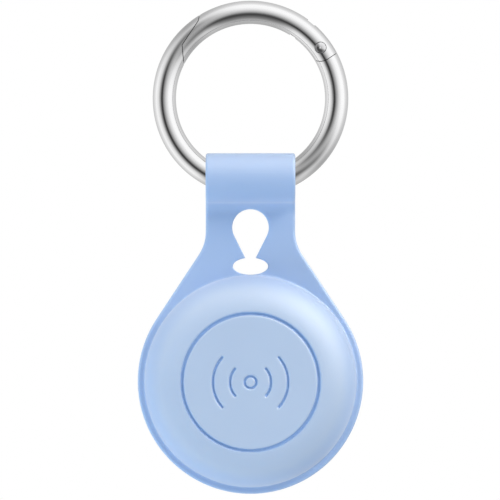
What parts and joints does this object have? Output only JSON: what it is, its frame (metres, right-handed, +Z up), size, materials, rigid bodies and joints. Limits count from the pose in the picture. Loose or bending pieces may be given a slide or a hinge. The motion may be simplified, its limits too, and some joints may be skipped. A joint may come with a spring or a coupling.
{
  "type": "bluetooth tracker tag in keyring holder",
  "caption": "Coin-cell radio tracker in a moulded silicone keyring holder with domed pocket and map-pin cut-out, hanging from a spring-gate O-ring.",
  "frame": {"origin": "top inner point of the O-ring, where it hangs from a hook or finger, in the ring's mid-plane", "axes": "+Z up through ring and strap, the domed front faces -Y, +X to the right seen from the front"},
  "size_m": [0.0398, 0.0106, 0.0871],
  "materials": {
    "polished_nickel": "polished",
    "polished_nickel_gate": "polished",
    "polished_pin": "polished",
    "plunger_steel": "satin",
    "spring_steel": "satin",
    "blue_silicone": "matte",
    "white_shell": "gloss",
    "frame_plastic": "matte",
    "antenna_plastic": "matte",
    "board": "satin",
    "chip_black": "matte",
    "chip_black_2": "matte",
    "crystal_can": "satin",
    "capacitor_ceramic": "matte",
    "yoke_steel": "satin",
    "magnet": "satin",
    "coil_copper": "satin",
    "contact_gold": "satin",
    "contact_gold_2": "satin",
    "cell_can": "satin",
    "cell_gasket": "matte",
    "cell_core": "matte",
    "cell_cap": "satin",
    "lid_steel": "polished",
    "carrier_plastic": "matte",
    "seal_rubber": "matte",
    "pad_foam": "matte"
  },
  "bodies": {
    "ring": {"ring_body": "polished_nickel"},
    "gate": {"ring_gate": "polished_nickel_gate", "gate_hinge_pin": "polished_pin", "gate_spring": "spring_steel"},
    "plunger": {"gate_plunger": "plunger_steel"},
    "holder": {"silicone_holder": "blue_silicone"},
    "tracker": {"tracker_housing": "white_shell", "inner_frame": "frame_plastic", "antenna_ring": "antenna_plastic", "main_board": "board", "radio_chip": "chip_black", "memory_chip": "chip_black_2", "crystal": "crystal_can", "board_capacitors": "capacitor_ceramic", "speaker_yoke": "yoke_steel", "speaker_magnet": "magnet", "voice_coil": "coil_copper", "contact_positive": "contact_gold", "contact_negative": "contact_gold_2", "coin_cell_can": "cell_can", "coin_cell_gasket": "cell_gasket", "coin_cell_core": "cell_core", "coin_cell_cap": "cell_cap"},
    "cover": {"battery_cover": "lid_steel", "cover_carrier": "carrier_plastic", "cover_seal": "seal_rubber", "cell_pad": "pad_foam"}
  },
  "joints": [
    {"name": "gate_hinge", "type": "hinge", "parent": "ring", "child": "gate", "pos_m": [0.01233, 0, -0.00426], "axis": [0, -1, 0], "range_deg": [0, 30], "stiffness_Nm_per_rad": 0.12, "springref_deg": -20.05},
    {"name": "plunger_slide", "type": "slide", "parent": "gate", "child": "plunger", "axis": [-0.9397, 0, 0.342], "range_m": [0, 0.00049], "deforming": ["gate_spring"]},
    {"name": "holder_swing", "type": "hinge", "parent": "ring", "child": "holder", "pos_m": [0, 0, -0.02719], "axis": [1, 0, 0], "range_deg": [-140, 140]},
    {"name": "tracker_turn", "type": "hinge", "parent": "holder", "child": "tracker", "pos_m": [0, 0.0044, -0.06304], "axis": [0, 1, 0], "continuous": true},
    {"name": "cover_twist", "type": "hinge", "parent": "tracker", "child": "cover", "pos_m": [0, 0.0044, -0.06304], "axis": [0, 1, 0], "range_deg": [0, 25]}
  ],
  "couplings": [
    {"joint": "plunger_slide", "follows": "gate_hinge", "m_per_rad": 0.000917}
  ]
}
